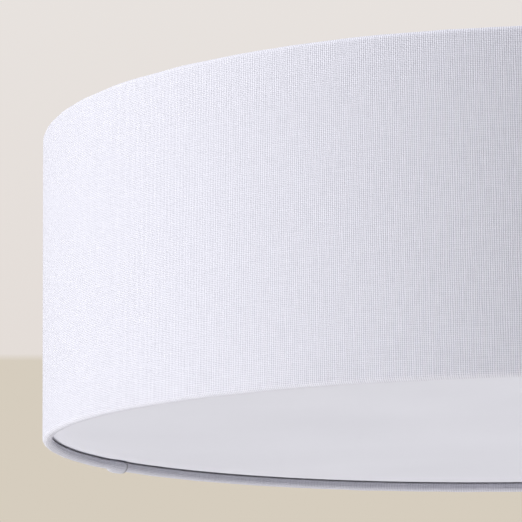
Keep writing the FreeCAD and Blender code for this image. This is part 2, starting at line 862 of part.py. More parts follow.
def make_socket_screws():
    """Two screws at each lamp, from behind the bracket into the holder's base."""
    body = new_body("socket_screws")
    head = "screw_head * 0.6"
    features = []
    for number, side in enumerate(("screw_spread", "0 - screw_spread")):
        rows = (
            ("head", f"bracket_start - {head}", "screw_head", head),
            ("shank", "bracket_start", "screw_radius - 0.1", "socket_base - socket_edge"),
        )
        for name, start, radius, length in rows:
            sketch = new_sketch(body, "YZ_Plane", f"screw_{name}_{number + 1}", start)
            draw_circle(sketch, side, "lamp_z", radius)
            features.append(pad(body, sketch, length))
    doc.recompute()
    round_pattern(body, features, LAMPS)
    return place(body, "lamp_azimuth")


def make_bulb_cap(number):
    """The threaded metal cap of a bulb, with a rounded rib for each turn."""
    corners = [("cap_start", "cap_hollow")]
    for turn in range(CAP_RIBS):
        at = f"cap_start + {turn} * cap_pitch"
        corners.append((at, "cap_root"))
        corners.append((f"{at} + cap_pitch / 4", "(cap_root + cap_crest) / 2"))
        corners.append((f"{at} + cap_pitch / 2", "cap_crest"))
        corners.append((f"{at} + 3 * cap_pitch / 4", "(cap_root + cap_crest) / 2"))
    corners += [
        (f"cap_start + {CAP_RIBS} * cap_pitch", "cap_root"),
        ("cap_end", "cap_crest"),
        ("collar_end", "cap_crest"),
        ("collar_end", "cap_hollow"),
    ]
    body = turned(f"bulb_cap_{number + 1}", corners, axis="H_Axis")
    return lamp_place(body, number)


def make_bulb_insulator(number):
    """The dark disc between the cap and the tip contact."""
    body = turned(
        f"bulb_insulator_{number + 1}",
        [
            ("bulb_tip + 2", "0"),
            ("bulb_tip + 2", "contact_radius + 0.5"),
            ("cap_start - 0.2", "cap_hollow"),
            ("cap_start + insulator_tuck", "cap_hollow"),
            ("cap_start + insulator_tuck", "0"),
        ],
        axis="H_Axis",
    )
    return lamp_place(body, number)


def make_bulb_contact(number):
    body = turned(
        f"bulb_contact_{number + 1}",
        [
            ("bulb_tip", "0"),
            ("bulb_tip", "contact_radius - 2"),
            ("bulb_tip + 1", "contact_radius"),
            ("bulb_tip + 2", "contact_radius"),
            ("bulb_tip + 2", "0"),
        ],
        axis="H_Axis",
    )
    return lamp_place(body, number)


def make_bulb_housing(number):
    """The bulb's collar, which widens from the cap to the globe."""
    neck = "collar_end + cap_collar"
    outside = [("collar_end", "cap_crest + 0.6"), (neck, "cap_crest + 1")]
    for along, widening in HOUSING_CURVE:
        flare = f"cap_crest + (bulb_radius - cap_crest) * {widening}"
        outside.append((f"cap_end + housing_length * {along}", flare))
    outside.append(("globe_start", "globe_rim"))
    inside = [
        (across, f"{radius} - housing_wall") for across, radius in reversed(outside[1:])
    ]
    ends = [(neck, "0"), ("collar_end", "0")]
    body = turned(f"bulb_housing_{number + 1}", outside + inside + ends, axis="H_Axis")
    return lamp_place(body, number)


def make_bulb_globe(number):
    """The opal globe: a short straight skirt and a round dome."""
    middle = "globe_end - bulb_radius"
    body = turned(
        f"bulb_globe_{number + 1}",
        [
            ("globe_start", "globe_rim - bulb_wall"),
            ("globe_start", "globe_rim"),
            (middle, "bulb_radius"),
            ("globe_end", "0"),
            ("globe_end - bulb_wall", "0"),
            (middle, "bulb_radius - bulb_wall"),
        ],
        {2: ((middle, "0"), -1, "up"), 4: ((middle, "0"), 1, "up")},
        axis="H_Axis",
    )
    return lamp_place(body, number)


# ---------------------------------------------------------------- wiring


def bent_wire(points, radius, bend):
    """A round wire along straight runs joined by arcs that touch both."""
    edges = []
    at = points[0]
    for before, corner, after in zip(points, points[1:], points[2:]):
        come = (corner - before).normalize()
        leave = (after - corner).normalize()
        turn = come.getAngle(leave)
        cut = bend * math.tan(turn / 2)
        start = corner - come * cut
        end = corner + leave * cut
        inward = (leave - come).normalize()
        depth = bend / math.cos(turn / 2) - bend
        middle = corner + inward * depth
        edges.append(Part.LineSegment(at, start).toShape())
        edges.append(Part.Arc(start, middle, end).toShape())
        at = end
    edges.append(Part.LineSegment(at, points[-1]).toShape())
    path = Part.Wire(edges)
    section = Part.Wire([Part.makeCircle(radius, points[0], points[1] - points[0])])
    pipe = path.makePipeShell([section], True, False)
    expected = math.pi * radius**2 * path.Length
    if abs(pipe.Volume / expected - 1) > 0.02:
        raise RuntimeError("a wire's volume isn't its section times its length")
    return pipe


def lamp_point(number, across, side, height):
    """A point in a lamp's own frame, turned to that lamp's azimuth."""
    turn = Rotation(ALONG_Z, value("lamp_azimuth") + 360 / LAMPS * number)
    return turn.multVec(Vector(across, side, height))


def pole_point(pole, number):
    """Where a lamp's lead enters its pole of the terminal block, in a bundle of three."""
    spread = 2 * value("lead_radius + bundle_play") / math.sqrt(3)
    angle = math.radians(90 + 120 * number)
    across = pole * value("pole_pitch") + spread * math.cos(angle)
    height = value("block_floor + pole_height") + spread * math.sin(angle)
    return Vector(across, value("block_place - block_width / 2 + lead_entry"), height)


# Each lead crosses the pan in a layer of its own, counted from the lowest, so that none touch.
LEAD_LAYERS = {(0, 1): 4, (0, -1): 5, (1, 1): 3, (1, -1): 2, (2, 1): 1, (2, -1): 0}


def make_lead(label, number, side):
    """A lead from its pole, through its lamp's grommet, into the back of the holder."""
    across = value("grommet_place")
    offset = side * value("lead_offset")
    high = value("lowest_layer") + LEAD_LAYERS[number, side] * value("layer_pitch")
    end = pole_point(side, number)
    points = [
        lamp_point(number, value("lead_end"), offset, value("lamp_z")),
        lamp_point(number, across, offset, value("lamp_z")),
        lamp_point(number, across, offset, high),
    ]
    if number == 2:
        # This lamp is on the far side of the stem, so its leads pass beside it.
        points.append(Vector(side * value("lead_pass"), -value("stem_radius + lead_pass"), high))
    points.append(Vector(end.x, end.y - value("block_width + lead_bend"), high))
    points.append(Vector(end.x, end.y - value("2 * lead_bend"), end.z))
    points.append(end)
    lead = doc.addObject("Part::Feature", label)
    lead.Label = label
    lead.Shape = bent_wire(points, value("lead_radius"), value("lead_bend"))
    return lead


def make_terminal_block():
    """A three-pole strip on the pan's floor, with wire bores along Y and screw wells above."""
    body = new_body("terminal_block")
    plan = new_sketch(body, "XY_Plane", "block_outline", "block_floor")
    side = "block_length / 2"
    near, far = "block_place - block_width / 2", "block_place + block_width / 2"
    draw_outline(plan, [(f"0 - {side}", near), (side, near), (side, far), (f"0 - {side}", far)])
    pad(body, plan, "block_height")
    wells = new_sketch(body, "XY_Plane", "screw_wells", "block_floor + block_height")
    bores = new_sketch(body, "XZ_Plane", "wire_bores", "0 - (block_place)")
    for pole in (-1, 0, 1):
        at = f"{pole} * pole_pitch"
        for shift in ("0 - block_width / 4", "block_width / 4"):
            draw_circle(wells, at, f"block_place + {shift}", "pole_bore + 0.2")
        draw_circle(bores, at, "block_floor + pole_height", "pole_bore + clamp_wall + 0.1")
    pocket(body, wells, "block_height - pole_height", both_ways=False)
    pocket(body, bores, "4 * block_width")
    fixings = new_sketch(body, "XY_Plane", "block_screw_holes", "block_floor")
    for across in ("block_screw_place", "0 - block_screw_place"):
        draw_circle(fixings, across, "block_place", "screw_radius + 0.1")
    pocket(body, fixings, "4 * block_height")
    return body


def make_terminal_clamps():
    """A brass tube clamp in each pole."""
    body = new_body("terminal_clamps")
    sketch = new_sketch(body, "XZ_Plane", "clamp_outline", "0 - (block_place)")
    holes = new_sketch(body, "XY_Plane", "clamp_screw_holes", "block_floor + block_height")
    for pole in (-1, 0, 1):
        at = f"{pole} * pole_pitch"
        draw_circle(sketch, at, "block_floor + pole_height", "pole_bore + clamp_wall")
        draw_circle(sketch, at, "block_floor + pole_height", "pole_bore")
        for shift in ("0 - block_width / 4", "block_width / 4"):
            draw_circle(holes, at, f"block_place + {shift}", "screw_shank")
    pad(body, sketch, "block_width - 2 * clamp_inset", both_ways=True)
    pocket(body, holes, "block_height - pole_height", both_ways=False)
    return body


def make_terminal_screws():
    """A slotted grub screw above each end of each clamp."""
    body = new_body("terminal_screws")
    top = "block_floor + block_height - grub_inset"
    sketch = new_sketch(body, "XY_Plane", "grub_screws", top)
    slots = new_sketch(body, "XY_Plane", "grub_slots", top)
    for pole in (-1, 0, 1):
        at = f"{pole} * pole_pitch"
        for shift in ("0 - block_width / 4", "block_width / 4"):
            centre = f"block_place + {shift}"
            draw_circle(sketch, at, centre, "screw_shank - 0.1")
            draw_slot(slots, at, centre, "grub_slot_width", "grub_slot_length")
    pad(body, sketch, "block_height - pole_height - block_wall", down=True)
    pocket(body, slots, "grub_slot_depth", both_ways=False)
    return body


def make_block_screws():
    """Two pan-head screws between the poles, through the block into the pan's floor."""
    body = new_body("block_screws")
    tail = "block_floor - pan_wall - screw_tail"
    rows = (
        ("head", "block_floor + block_height", "screw_head", "screw_head * 0.6"),
        ("shank", tail, "screw_radius", f"block_floor + block_height - ({tail})"),
    )
    for name, start, radius, length in rows:
        sketch = new_sketch(body, "XY_Plane", f"block_screw_{name}", start)
        for across in ("block_screw_place", "0 - block_screw_place"):
            draw_circle(sketch, across, "block_place", radius)
        pad(body, sketch, length)
    return body


def make_earth_screw():
    """The earth screw beside the block, through the pan's floor."""
    floor = "0 - pan_depth"
    body = new_body("earth_screw")
    rows = (
        ("head", f"{floor} + pan_wall", "earth_head", "earth_head_height"),
        ("shank", f"{floor} - earth_tail", "screw_radius", "earth_tail + pan_wall"),
    )
    for name, start, radius, length in rows:
        sketch = new_sketch(body, "XY_Plane", f"earth_{name}", start)
        draw_circle(sketch, "earth_place", "block_place", radius)
        pad(body, sketch, length)
    return body


def make_earth_lead():
    """The earth lead, from the middle pole's outer end round to the earth screw's head."""
    outer = value("block_place + block_width / 2")
    height = value("earth_lead_z")
    across = value("earth_place")
    run = outer + value("lead_bend + earth_run")
    clear = value("block_place + earth_head + earth_lead_stop")
    points = [
        Vector(0, outer - value("lead_entry"), height),
        Vector(0, run, height),
        Vector(across, run, height),
        Vector(across, clear, height),
    ]
    lead = doc.addObject("Part::Feature", "earth_lead")
    lead.Label = "earth_lead"
    lead.Shape = bent_wire(points, value("lead_radius"), value("lead_bend"))
    return lead


# ---------------------------------------------------------------- the whole light


def make_parts():
    parts = [
        make_mounting_strap(),
        make_ceiling_pan(),
        make_stem(),
        hex_nut("strap_nut", "0 - strap_thickness", "strap_nut_height"),
        washer_ring(
            "pan_lock_washer",
            "stem_hole",
            "lock_washer_radius",
            "lock_washer_z",
            "lock_washer_thickness",
        ),
        hex_nut("pan_nut", "pan_nut_z", "pan_nut_height"),
        make_bracket_rivets(),
        make_lead_grommets(),
        make_socket_screws(),
        make_terminal_block(),
        make_terminal_clamps(),
        make_terminal_screws(),
        make_block_screws(),
        make_earth_screw(),
        make_earth_lead(),
        make_shade_fabric(),
        make_shade_liner(),
        make_ring("top_ring", "top_hem_z"),
        make_ring("bottom_ring", "bottom_hem_z"),
        make_spider_arms(),
        make_spider_hub(),
        washer_ring(
            "shade_washer",
            "stem_hole",
            "shade_washer_radius",
            "shade_washer_z",
            "shade_washer_thickness",
        ),
        make_shade_nut(),
        make_diffuser(),
    ]
    for number in range(LAMPS):
        for make in (
            make_lamp_bracket,
            make_socket_body,
            make_socket_shell,
            make_socket_contact,
            make_bulb_cap,
            make_bulb_insulator,
            make_bulb_contact,
            make_bulb_housing,
            make_bulb_globe,
        ):
            parts.append(make(number))
        parts.append(make_lead(f"lead_line_{number + 1}", number, 1))
        parts.append(make_lead(f"lead_neutral_{number + 1}", number, -1))
    return parts


def check(parts):
    """Stops the script if any object of the document failed, or a sub-part's shape is bad."""
    for item in doc.Objects:
        if {"Invalid", "Error"} & set(item.State):
            raise RuntimeError(f"{item.Label} failed: {item.State}")
    for part in parts:
        if part.Shape.isNull() or not part.Shape.isValid() or not part.Shape.Solids:
            raise RuntimeError(f"{part.Label} has no valid solid")


parts = make_parts()
doc.recompute()
check(parts)
os.makedirs("parts", exist_ok=True)
for part in parts:
    part.Shape.exportStep(f"parts/{part.Label}.step")
    box = part.Shape.BoundBox
    print(
        f"{part.Label}: {len(part.Shape.Solids)} solid(s), {part.Shape.Volume:.0f} mm3,"
        f" x {box.XMin:.1f}..{box.XMax:.1f}, y {box.YMin:.1f}..{box.YMax:.1f},"
        f" z {box.ZMin:.1f}..{box.ZMax:.1f}"
    )
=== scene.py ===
"""A flush mount ceiling light with a fabric drum shade, dressed over its CAD frame, in metres."""

import math

import bpy
from mathutils import Matrix, Vector


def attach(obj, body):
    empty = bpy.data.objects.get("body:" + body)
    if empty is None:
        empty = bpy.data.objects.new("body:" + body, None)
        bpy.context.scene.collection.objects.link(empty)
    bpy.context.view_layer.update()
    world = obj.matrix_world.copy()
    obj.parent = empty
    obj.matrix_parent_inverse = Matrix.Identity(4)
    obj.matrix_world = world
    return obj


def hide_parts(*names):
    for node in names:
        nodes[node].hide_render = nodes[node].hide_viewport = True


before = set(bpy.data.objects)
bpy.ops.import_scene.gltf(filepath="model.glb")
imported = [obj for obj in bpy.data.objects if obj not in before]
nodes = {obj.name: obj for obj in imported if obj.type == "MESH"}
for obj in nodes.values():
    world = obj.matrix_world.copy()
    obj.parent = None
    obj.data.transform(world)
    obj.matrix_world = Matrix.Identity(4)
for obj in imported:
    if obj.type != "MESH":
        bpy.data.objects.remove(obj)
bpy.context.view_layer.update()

# ---------------------------------------------------------------- sizes, as in the CAD

SHADE_RADIUS = 0.200
HEM_RADIUS = 0.00195  # of the rolled edge, outside its cloth
HEM_CENTRE = 0.19805  # from the axis to the middle of each roll
TOP_HEM = -0.00295  # height of the middle of each roll
BOTTOM_HEM = -0.12105
CLOTH = 0.00045
SEAM_AZIMUTH = math.radians(155.6)
LAP_ANGLE = math.radians(3.151)
ARM_AZIMUTHS = [math.radians(angle) for angle in (90, 210, 330)]
NOTCH_HALF = 0.00215  # half the cut-out for an arm
MIDDLE = (TOP_HEM + BOTTOM_HEM) / 2
WALL_HALF = (TOP_HEM - BOTTOM_HEM) / 2

# ---------------------------------------------------------------- sizes of the scene alone

SAME_PLACE = 1e-6
SAME_TURN = 1e-4  # in radians

ROLL_SIDES = 32
# Where each roll is open, in degrees from its outermost point towards the middle of the wall.
ROLL_GAP = (5, 60)
WALL_CUTS = 9
COLUMN = math.radians(0.63)  # the lapped end has narrow columns, the rest about one degree
LAP_COLUMNS = 8
OTHER_COLUMNS = 357
# The lapped end stands off by the cloth under it. Each row tells how many columns from the
# end it moves, how far in thicknesses of cloth, and whether the whole height moves or only
# the bottom hem.
LAP_RAISES = (
    (5.5, 0.5, True),
    (4.5, 0.6, True),
    (4.5, 1.0, False),
    (3.5, 0.4, False),
    (0.5, -0.5, False),
)
LAP_FOOT = 0.001  # the bottom hem counts up to this far over the middle of its roll
WAVE_SIZE = 0.012  # of the hems' unevenness
WAVE_HEIGHT = 0.0005

WARP_THREADS = 1611  # upright threads, once round the drum
WEFT_PITCH = 0.00066  # between the threads that run round it
# How often a thread strays from its place, and how often it grows thick: for each metre
# across it, for each metre along it, and for each step of its seed.
SWAY_SCALE = (420, 55, 1)
SLUB_SCALE = (900, 120, 1)
SWAY = 0.9  # in thread pitches
THINNEST = 0.62  # of the thickest
WEAVE_DEPTH = 0.00019
LAP_EDGE_SHADE = (0.0006, 0.0020)  # painted shade at the lap's cut edge is full up to the first, gone by the second


# ---------------------------------------------------------------- finishes


def put(tree, kind, inputs=None, **settings):
    """Adds a node; each input takes a value or another node's output."""
    made = tree.nodes.new(kind)
    for name, setting in settings.items():
        setattr(made, name, setting)
    for place, source in (inputs or {}).items():
        if isinstance(source, bpy.types.NodeSocket):
            tree.links.new(source, made.inputs[place])
        else:
            made.inputs[place].default_value = source
    return made


def calculate(tree, operation, first, second=0.0, third=0.0):
    numbers = {0: first, 1: second, 2: third}
    return put(tree, "ShaderNodeMath", numbers, operation=operation).outputs[0]


def blend_colours(tree, share, first, second, how="MIX"):
    colours = {0: share, 6: first, 7: second}
    return put(tree, "ShaderNodeMix", colours, data_type="RGBA", blend_type=how).outputs[2]


def remap(tree, source, low, high, new_low=0.0, new_high=1.0):
    ends = {0: source, 1: low, 2: high, 3: new_low, 4: new_high}
    return put(tree, "ShaderNodeMapRange", ends).outputs[0]


def noise(tree, place, scale, detail=2.0):
    inputs = {"Vector": place, "Scale": scale, "Detail": detail}
    return put(tree, "ShaderNodeTexNoise", inputs).outputs[0]


def colour(red, green, blue):
    return (red, green, blue, 1.0)


def new_finish(name, **constants):
    """A material whose shader already holds what is the same all over the surface."""
    material = bpy.data.materials.new(name)
    material.use_nodes = True
    tree = material.node_tree
    shader = tree.nodes["Principled BSDF"]
    for socket, constant in constants.items():
        shader.inputs[socket.replace("_", " ")].default_value = constant
    return material, tree, shader


def add_relief(tree, shader, height, distance):
    """Bumps the surface by a height of 0 to 1, where 1 stands for a distance in metres."""
    inputs = {"Strength": 1.0, "Distance": distance, "Height": height}
    bump = put(tree, "ShaderNodeBump", inputs)
    tree.links.new(bump.outputs[0], shader.inputs["Normal"])


def grained(name, light, dark, clouds, roughness, grain, **constants):
    """Moulded, painted or plated: an uneven tone, an uneven gloss and a fine surface grain.

    clouds is the size of the uneven patches, roughness its two ends, and grain the size
    and the height of the grain. Sizes are in metres.
    """
    material, tree, shader = new_finish(name, **constants)
    grain_size, grain_height = grain
    place = put(tree, "ShaderNodeTexCoord").outputs["Object"]
    cloud = noise(tree, place, 1 / clouds, 4.0)
    fine = noise(tree, place, 1 / grain_size, 3.0)
    base = blend_colours(tree, remap(tree, cloud, 0.3, 0.7), colour(*dark), colour(*light))
    tree.links.new(base, shader.inputs["Base Color"])
    tree.links.new(remap(tree, cloud, 0.25, 0.75, *roughness), shader.inputs["Roughness"])
    add_relief(tree, shader, fine, grain_height)
    return material


def threaded(name, light, dark, pitch, depth, roughness):
    """A plated rod with a screw thread: one turn for each pitch along the piece's own Z."""
    material, tree, shader = new_finish(name, Metallic=1.0)
    place = put(tree, "ShaderNodeTexCoord").outputs["Object"]
    apart = put(tree, "ShaderNodeSeparateXYZ", {0: place})
    round_it = calculate(tree, "ARCTAN2", apart.outputs[1], apart.outputs[0])
    turns = calculate(tree, "DIVIDE", apart.outputs[2], pitch)
    helix = calculate(tree, "MULTIPLY_ADD", round_it, 0.5 / math.pi, turns)
    ridge = calculate(tree, "PINGPONG", helix, 0.5)
    cloud = noise(tree, place, 400.0, 4.0)
    # The thread's grooves are painted darker than its crests: painted shade, mixed with a random
    # mottle.
    groove_shade_and_mottle = calculate(tree, "MULTIPLY_ADD", cloud, 0.5, ridge)
    base = blend_colours(tree, remap(tree, groove_shade_and_mottle, 0.2, 0.75), colour(*dark), colour(*light))
    tree.links.new(base, shader.inputs["Base Color"])
    tree.links.new(remap(tree, cloud, 0.25, 0.75, *roughness), shader.inputs["Roughness"])
    add_relief(tree, shader, ridge, depth)
    return material


def lay_threads(tree, across, along, pitch, seed):
    """One set of threads: round ribs, each a little off its place, thick and thin by turns.

    Gives how high the thread stands at a point, from 0 to 1, and the thread's number.
    """
    place = put(tree, "ShaderNodeCombineXYZ", {0: across, 1: along, 2: seed}).outputs[0]
    stretched = put(tree, "ShaderNodeMapping", {"Vector": place, "Scale": SWAY_SCALE})
    sway = noise(tree, stretched.outputs[0], 1.0)
    moved = calculate(tree, "MULTIPLY_ADD", sway, SWAY * pitch, across)
    count = calculate(tree, "DIVIDE", moved, pitch)
    wave = calculate(tree, "SINE", calculate(tree, "MULTIPLY", count, math.pi))
    rib = calculate(tree, "ABSOLUTE", wave)
    stretched = put(tree, "ShaderNodeMapping", {"Vector": place, "Scale": SLUB_SCALE})
    slub = noise(tree, stretched.outputs[0], 1.0, 3.0)
    body = remap(tree, slub, 0.3, 0.7, THINNEST, 1.0)
    return calculate(tree, "MULTIPLY", rib, body), calculate(tree, "FLOOR", count)


def linen(name):
    """Plain-woven white cloth: threads of uneven thickness, on the cover's own UV map."""
    material, tree, shader = new_finish(
        name, Roughness=0.86, Sheen_Weight=0.2, Sheen_Roughness=0.5
    )
    place = put(tree, "ShaderNodeUVMap", uv_map="cloth").outputs[0]
    apart = put(tree, "ShaderNodeSeparateXYZ", {0: place})
    round_drum, up_cloth = apart.outputs[0], apart.outputs[1]

    warp_pitch = 2 * math.pi * SHADE_RADIUS / WARP_THREADS
    warp, warp_lane = lay_threads(tree, round_drum, up_cloth, warp_pitch, 3.0)
    weft, weft_lane = lay_threads(tree, up_cloth, round_drum, WEFT_PITCH, 17.0)
    # Each thread passes over its neighbours one by one: a checkerboard of crossings.
    lanes = calculate(tree, "ADD", warp_lane, weft_lane)
    over = calculate(tree, "MODULO", calculate(tree, "ABSOLUTE", lanes), 2.0)
    upper = put(tree, "ShaderNodeMix", {0: over, 2: warp, 3: weft}).outputs[0]
    both = calculate(tree, "MULTIPLY_ADD", warp, 0.5, calculate(tree, "MULTIPLY", weft, 0.3))
    height = calculate(tree, "MULTIPLY_ADD", upper, 0.35, both)

    # Painted shade: the hollows between the threads are darker in colour, besides the bump, and
    # the crowns lighter.
    shaded_hollow, lit_crown = colour(0.52, 0.52, 0.56), colour(0.905, 0.90, 0.94)
    shade = blend_colours(tree, remap(tree, height, 0.05, 0.75), shaded_hollow, lit_crown)
    # Round the rings the rolls are greyer: partly there is no white liner behind the cloth,
    # partly painted shade on the tucked side of each roll.
    above = calculate(tree, "ABSOLUTE", calculate(tree, "SUBTRACT", up_cloth, MIDDLE))
    starts, ends = WALL_HALF + 1.4 * HEM_RADIUS, WALL_HALF + 3.0 * HEM_RADIUS
    shaded_hem = remap(tree, above, starts, ends)
    shade = blend_colours(tree, shaded_hem, shade, colour(0.79, 0.79, 0.825), "MULTIPLY")
    # Painted shade: a dark line along the lap's cut edge, where the gap under the lapped end
    # falls in shade.
    edge_shade = remap(tree, round_drum, *LAP_EDGE_SHADE, 1.0, 0.0)
    edge_shade = calculate(tree, "MULTIPLY", edge_shade, remap(tree, shaded_hem, 0.0, 0.3, 0.25, 1.0))
    shade = blend_colours(tree, edge_shade, shade, colour(0.45, 0.44, 0.45), "MULTIPLY")
    tree.links.new(shade, shader.inputs["Base Color"])
    add_relief(tree, shader, height, WEAVE_DEPTH)
    return material


# What grained() needs for each slot of the record, apart from the linen.
LOOKS = {
    "liner_film": dict(
        light=(0.84, 0.84, 0.82), dark=(0.78, 0.78, 0.76), clouds=0.05,
        roughness=(0.32, 0.42), grain=(0.0012, 0.00001), Subsurface_Weight=0.15,
        Subsurface_Radius=(1.0, 1.0, 1.0), Subsurface_Scale=0.001,
    ),
    "opal_sheet": dict(
        light=(0.845, 0.85, 0.885), dark=(0.825, 0.83, 0.865), clouds=0.06,
        roughness=(0.55, 0.62), grain=(0.0010, 0.000008), Subsurface_Weight=0.2,
        Subsurface_Radius=(1.0, 1.0, 1.0), Subsurface_Scale=0.001, Specular_IOR_Level=0.25,
    ),
    "white_wire": dict(
        light=(0.82, 0.82, 0.80), dark=(0.74, 0.74, 0.72), clouds=0.006,
        roughness=(0.35, 0.5), grain=(0.0006, 0.00003),
    ),
    "zinc_steel": dict(
        light=(0.70, 0.71, 0.72), dark=(0.58, 0.59, 0.61), clouds=0.006,
        roughness=(0.28, 0.46), grain=(0.0004, 0.00001), Metallic=1.0,
    ),
    "white_enamel": dict(
        light=(0.84, 0.84, 0.82), dark=(0.79, 0.79, 0.77), clouds=0.03,
        roughness=(0.22, 0.32), grain=(0.0016, 0.00002), Coat_Weight=0.2,
    ),
    "aluminium": dict(
        light=(0.80, 0.80, 0.81), dark=(0.62, 0.62, 0.64), clouds=0.002,
        roughness=(0.25, 0.42), grain=(0.0003, 0.00001), Metallic=1.0,
    ),
    "black_rubber": dict(
        light=(0.045, 0.045, 0.047), dark=(0.025, 0.025, 0.027), clouds=0.003,
        roughness=(0.65, 0.85), grain=(0.0004, 0.00003),
    ),
    "block_plastic": dict(
        light=(0.80, 0.79, 0.75), dark=(0.72, 0.71, 0.67), clouds=0.006,
        roughness=(0.38, 0.5), grain=(0.0005, 0.00002), Subsurface_Weight=0.1,
    ),
    "brass": dict(
        light=(0.80, 0.60, 0.27), dark=(0.62, 0.44, 0.18), clouds=0.003,
        roughness=(0.22, 0.4), grain=(0.0003, 0.00001), Metallic=1.0,
    ),
    "nickel": dict(
        light=(0.76, 0.74, 0.70), dark=(0.60, 0.58, 0.55), clouds=0.004,
        roughness=(0.2, 0.34), grain=(0.0003, 0.000008), Metallic=1.0,
    ),
    "socket_plastic": dict(
        light=(0.80, 0.80, 0.77), dark=(0.73, 0.73, 0.70), clouds=0.008,
        roughness=(0.3, 0.42), grain=(0.0007, 0.00002),
    ),
    "line_insulation": dict(
        light=(0.035, 0.035, 0.037), dark=(0.02, 0.02, 0.022), clouds=0.004,
        roughness=(0.35, 0.5), grain=(0.0005, 0.00002),
    ),
    "neutral_insulation": dict(
        light=(0.80, 0.80, 0.78), dark=(0.70, 0.70, 0.68), clouds=0.004,
        roughness=(0.35, 0.5), grain=(0.0005, 0.00002),
    ),
    "earth_insulation": dict(
        light=(0.08, 0.34, 0.10), dark=(0.05, 0.24, 0.07), clouds=0.004,
        roughness=(0.35, 0.5), grain=(0.0005, 0.00002),
    ),
    "white_nut": dict(
        light=(0.82, 0.82, 0.80), dark=(0.72, 0.72, 0.70), clouds=0.004,
        roughness=(0.3, 0.45), grain=(0.0005, 0.00002),
    ),
    "opal_globe": dict(
        light=(0.88, 0.88, 0.86), dark=(0.84, 0.84, 0.82), clouds=0.02,
        roughness=(0.3, 0.38), grain=(0.0012, 0.000006), Subsurface_Weight=0.25,
        Subsurface_Radius=(1.0, 1.0, 1.0), Subsurface_Scale=0.002,
    ),
    "bulb_plastic": dict(
        light=(0.80, 0.80, 0.79), dark=(0.75, 0.75, 0.74), clouds=0.012,
        roughness=(0.34, 0.45), grain=(0.0006, 0.00002),
    ),
    "black_glass": dict(
        light=(0.02, 0.02, 0.022), dark=(0.012, 0.012, 0.013), clouds=0.002,
        roughness=(0.08, 0.16), grain=(0.0008, 0.000006),
    ),
}


def dress_frame():
    """Every CAD node keeps its record's slot, and gets that slot's finish."""
    threaded_steel = threaded(
        "threaded_steel", light=(0.70, 0.71, 0.72), dark=(0.34, 0.35, 0.36), pitch=0.001,
        depth=0.0005, roughness=(0.28, 0.46),
    )
    for name, piece in nodes.items():
        for slot in piece.material_slots:
            known = slot.material.name.split(".")[0]
            if known not in finishes:
                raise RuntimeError(f"{name} has no finish for {slot.material.name}")
            slot.material = threaded_steel if name == "stem" else finishes[known]


# ---------------------------------------------------------------- the fabric cover


def begin(name, primitive, **how):
    """Adds a primitive with nothing else selected, puts its place in its mesh, and edits it."""
    bpy.ops.object.select_all(action="DESELECT")
    primitive(**how)
    piece = bpy.context.object
    piece.name = piece.data.name = name
    bpy.ops.object.transform_apply(location=True, rotation=True, scale=True)
    bpy.ops.object.mode_set(mode="EDIT")
    return piece


def pick(piece, wanted, kind="VERT"):
    """In edit mode: selects the vertices or faces whose place answers, and nothing else."""
    bpy.ops.mesh.select_mode(type="VERT")
    bpy.ops.mesh.select_all(action="DESELECT")
    bpy.ops.mesh.select_mode(type=kind)
    bpy.ops.object.mode_set(mode="OBJECT")
    if kind == "VERT":
        for vertex in piece.data.vertices:
            vertex.select = wanted(vertex.co)
    else:
        for face in piece.data.polygons:
            face.select = wanted(face.center)
    bpy.ops.object.mode_set(mode="EDIT")


def add_modifier(piece, kind, **settings):
    """Adds a modifier and applies it."""
    added = piece.modifiers.new(kind.lower(), kind)
    for name, setting in settings.items():
        setattr(added, name, setting)
    bpy.context.view_layer.objects.active = piece
    bpy.ops.object.modifier_apply(modifier=added.name)


def after_seam(at):
    """How far round from the seam a point lies, from 0 up to a full turn."""
    azimuth = math.atan2(at.y, at.x)
    return (azimuth - SEAM_AZIMUTH + SAME_TURN) % (2 * math.pi) - SAME_TURN


def spin_on(columns, angle):
    """Draws the selected edge round the axis, towards a larger azimuth.

    Blender counts these turns the other way round, so the sign is changed.
    """
    bpy.ops.mesh.spin(steps=columns, angle=-angle, center=(0, 0, 0), axis=(0, 0, 1))


def face_outwards(piece):
    """Recalculates the normals of an open sheet, and turns them if the wall faces the axis."""
    bpy.ops.mesh.select_all(action="SELECT")
    bpy.ops.mesh.remove_doubles(threshold=SAME_PLACE)
    bpy.ops.mesh.normals_make_consistent(inside=False)
    bpy.ops.object.mode_set(mode="OBJECT")
    outward = sum(
        face.normal.dot(face.center * Vector((1, 1, 0)))
        for face in piece.data.polygons
        if TOP_HEM > face.center.z > BOTTOM_HEM
    )
    bpy.ops.object.mode_set(mode="EDIT")
    if outward < 0:
        bpy.ops.mesh.select_all(action="SELECT")
        bpy.ops.mesh.flip_normals()


def up_the_cloth(at):
    """How far along the cloth's height a point lies: along the wall, then round the roll."""
    out = math.hypot(at.x, at.y) - HEM_CENTRE
    if BOTTOM_HEM <= at.z <= TOP_HEM and out > 0.8 * HEM_RADIUS:
        return at.z
    top = at.z > MIDDLE
    height = at.z - (TOP_HEM if top else BOTTOM_HEM)
    turn = math.atan2(height if top else -height, out) % (2 * math.pi)
    return TOP_HEM + HEM_RADIUS * turn if top else BOTTOM_HEM - HEM_RADIUS * turn


def lay_out_cloth(piece):
    """The cloth's own UV map, in metres: along the circumference, and up the cloth."""
    layer = piece.data.uv_layers.new(name="cloth")
    for face in piece.data.polygons:
        turns = [after_seam(piece.data.vertices[i].co) for i in face.vertices]
        crosses = max(turns) - min(turns) > math.pi
        for loop, turn, index in zip(face.loop_indices, turns, face.vertices):
            if crosses and turn < math.pi:
                turn += 2 * math.pi
            up = up_the_cloth(piece.data.vertices[index].co)
            layer.data[loop].uv = (turn * SHADE_RADIUS, up)


